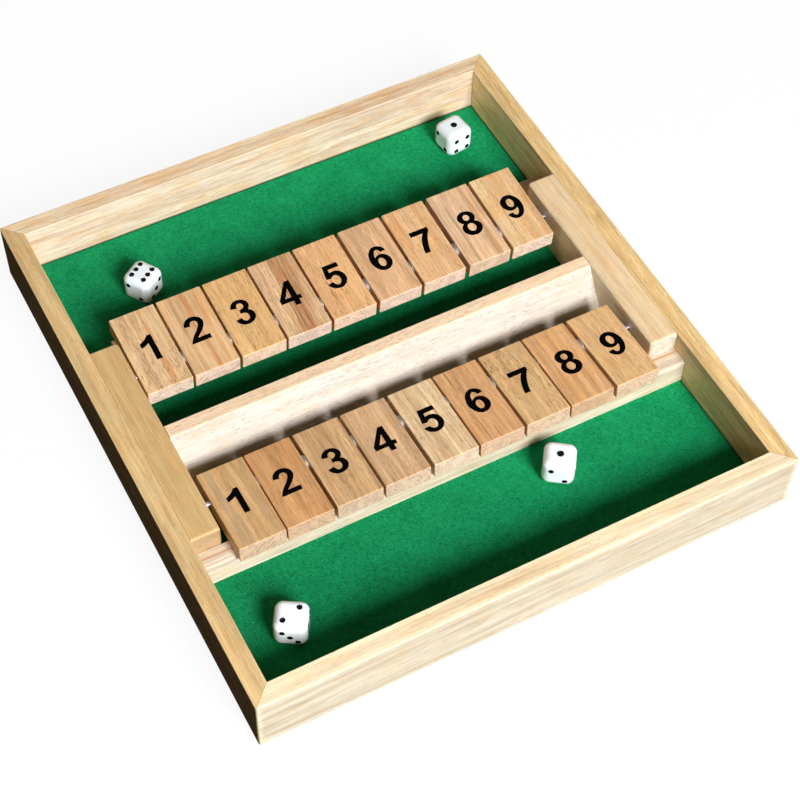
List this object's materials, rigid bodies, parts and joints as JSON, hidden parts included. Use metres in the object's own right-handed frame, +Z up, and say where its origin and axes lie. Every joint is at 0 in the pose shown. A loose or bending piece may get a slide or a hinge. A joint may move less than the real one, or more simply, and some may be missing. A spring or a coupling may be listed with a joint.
{
  "type": "flip-tile dice game box",
  "caption": "Open two-player shut the box game: mitred wooden tray with a felt floor, numbered flip tiles on steel rods either side of a sloping centre ridge, and loose dice.",
  "frame": {"origin": "centre of the box's footprint, at the underside of the frame rails", "axes": "+X along the rows of tiles, from tile 1 to tile 9; +Y from the near player to the far player; +Z up"},
  "size_m": [0.295, 0.32, 0.036],
  "materials": {
    "frame_wood": "satin clear varnish over pale straw-coloured wood",
    "board_wood": "plain unvarnished board",
    "block_wood": "satin clear varnish",
    "ridge_wood": "satin clear varnish over very pale wood",
    "tile_wood": "satin clear varnish, black printed numerals",
    "felt": "short-napped green felt",
    "rod_steel": "drawn bright wire",
    "screw_steel": "zinc plated",
    "dice_plastic": "polished white with black painted pips"
  },
  "bodies": {
    "box": {"frame_rail_near": "frame_wood", "frame_rail_far": "frame_wood", "frame_rail_left": "frame_wood", "frame_rail_right": "frame_wood", "base_board": "board_wood", "felt_lining": "felt", "bearing_block_left": "block_wood", "bearing_block_right": "block_wood", "step_rail_near": "block_wood", "step_rail_far": "block_wood", "centre_ridge": "ridge_wood", "bearing_block_screws": "screw_steel", "step_rail_screws": "screw_steel", "centre_ridge_screws": "screw_steel", "tile_rod_near": "rod_steel", "tile_rod_far": "rod_steel", "near_row_washers": "rod_steel", "far_row_washers": "rod_steel"},
    "near_tile_1": {"near_tile_1": "tile_wood"},
    "near_tile_2": {"near_tile_2": "tile_wood"},
    "near_tile_3": {"near_tile_3": "tile_wood"},
    "near_tile_4": {"near_tile_4": "tile_wood"},
    "near_tile_5": {"near_tile_5": "tile_wood"},
    "near_tile_6": {"near_tile_6": "tile_wood"},
    "near_tile_7": {"near_tile_7": "tile_wood"},
    "near_tile_8": {"near_tile_8": "tile_wood"},
    "near_tile_9": {"near_tile_9": "tile_wood"},
    "far_tile_1": {"far_tile_1": "tile_wood"},
    "far_tile_2": {"far_tile_2": "tile_wood"},
    "far_tile_3": {"far_tile_3": "tile_wood"},
    "far_tile_4": {"far_tile_4": "tile_wood"},
    "far_tile_5": {"far_tile_5": "tile_wood"},
    "far_tile_6": {"far_tile_6": "tile_wood"},
    "far_tile_7": {"far_tile_7": "tile_wood"},
    "far_tile_8": {"far_tile_8": "tile_wood"},
    "far_tile_9": {"far_tile_9": "tile_wood"},
    "die_far_left": {"die_far_left": "dice_plastic"},
    "die_far_right": {"die_far_right": "dice_plastic"},
    "die_near_right": {"die_near_right": "dice_plastic"},
    "die_near_left": {"die_near_left": "dice_plastic"}
  },
  "joints": [
    {"name": "near_tile_1_turn", "type": "hinge", "parent": "box", "child": "near_tile_1", "pos_m": [-0.1061, -0.0454, 0.0271], "axis": [-1, 0, 0], "range_deg": [0, 165]},
    {"name": "near_tile_2_turn", "type": "hinge", "parent": "box", "child": "near_tile_2", "pos_m": [-0.08045, -0.0454, 0.0271], "axis": [-1, 0, 0], "range_deg": [0, 165]},
    {"name": "near_tile_3_turn", "type": "hinge", "parent": "box", "child": "near_tile_3", "pos_m": [-0.05375, -0.0454, 0.0271], "axis": [-1, 0, 0], "range_deg": [0, 165]},
    {"name": "near_tile_4_turn", "type": "hinge", "parent": "box", "child": "near_tile_4", "pos_m": [-0.02745, -0.0454, 0.0271], "axis": [-1, 0, 0], "range_deg": [0, 165]},
    {"name": "near_tile_5_turn", "type": "hinge", "parent": "box", "child": "near_tile_5", "pos_m": [-0.00055, -0.0454, 0.0271], "axis": [-1, 0, 0], "range_deg": [0, 165]},
    {"name": "near_tile_6_turn", "type": "hinge", "parent": "box", "child": "near_tile_6", "pos_m": [0.0255, -0.0454, 0.0271], "axis": [-1, 0, 0], "range_deg": [0, 165]},
    {"name": "near_tile_7_turn", "type": "hinge", "parent": "box", "child": "near_tile_7", "pos_m": [0.05205, -0.0454, 0.0271], "axis": [-1, 0, 0], "range_deg": [0, 165]},
    {"name": "near_tile_8_turn", "type": "hinge", "parent": "box", "child": "near_tile_8", "pos_m": [0.07795, -0.0454, 0.0271], "axis": [-1, 0, 0], "range_deg": [0, 165]},
    {"name": "near_tile_9_turn", "type": "hinge", "parent": "box", "child": "near_tile_9", "pos_m": [0.1048, -0.0454, 0.0271], "axis": [-1, 0, 0], "range_deg": [0, 165]},
    {"name": "far_tile_1_turn", "type": "hinge", "parent": "box", "child": "far_tile_1", "pos_m": [-0.1074, 0.0414, 0.0271], "axis": [1, 0, 0], "range_deg": [0, 165]},
    {"name": "far_tile_2_turn", "type": "hinge", "parent": "box", "child": "far_tile_2", "pos_m": [-0.0811, 0.0414, 0.0271], "axis": [1, 0, 0], "range_deg": [0, 165]},
    {"name": "far_tile_3_turn", "type": "hinge", "parent": "box", "child": "far_tile_3", "pos_m": [-0.0548, 0.0414, 0.0271], "axis": [1, 0, 0], "range_deg": [0, 165]},
    {"name": "far_tile_4_turn", "type": "hinge", "parent": "box", "child": "far_tile_4", "pos_m": [-0.0286, 0.0414, 0.0271], "axis": [1, 0, 0], "range_deg": [0, 165]},
    {"name": "far_tile_5_turn", "type": "hinge", "parent": "box", "child": "far_tile_5", "pos_m": [-0.00225, 0.0414, 0.0271], "axis": [1, 0, 0], "range_deg": [0, 165]},
    {"name": "far_tile_6_turn", "type": "hinge", "parent": "box", "child": "far_tile_6", "pos_m": [0.0247, 0.0414, 0.0271], "axis": [1, 0, 0], "range_deg": [0, 165]},
    {"name": "far_tile_7_turn", "type": "hinge", "parent": "box", "child": "far_tile_7", "pos_m": [0.0513, 0.0414, 0.0271], "axis": [1, 0, 0], "range_deg": [0, 165]},
    {"name": "far_tile_8_turn", "type": "hinge", "parent": "box", "child": "far_tile_8", "pos_m": [0.0788, 0.0414, 0.0271], "axis": [1, 0, 0], "range_deg": [0, 165]},
    {"name": "far_tile_9_turn", "type": "hinge", "parent": "box", "child": "far_tile_9", "pos_m": [0.1055, 0.0414, 0.0271], "axis": [1, 0, 0], "range_deg": [0, 165]},
    {"name": "die_far_left_lift", "type": "slide", "parent": "box", "child": "die_far_left", "axis": [0, 0, 1], "range_m": [0, 0.1]},
    {"name": "die_far_right_lift", "type": "slide", "parent": "box", "child": "die_far_right", "axis": [0, 0, 1], "range_m": [0, 0.1]},
    {"name": "die_near_right_lift", "type": "slide", "parent": "box", "child": "die_near_right", "axis": [0, 0, 1], "range_m": [0, 0.1]},
    {"name": "die_near_left_lift", "type": "slide", "parent": "box", "child": "die_near_left", "axis": [0, 0, 1], "range_m": [0, 0.1]}
  ]
}
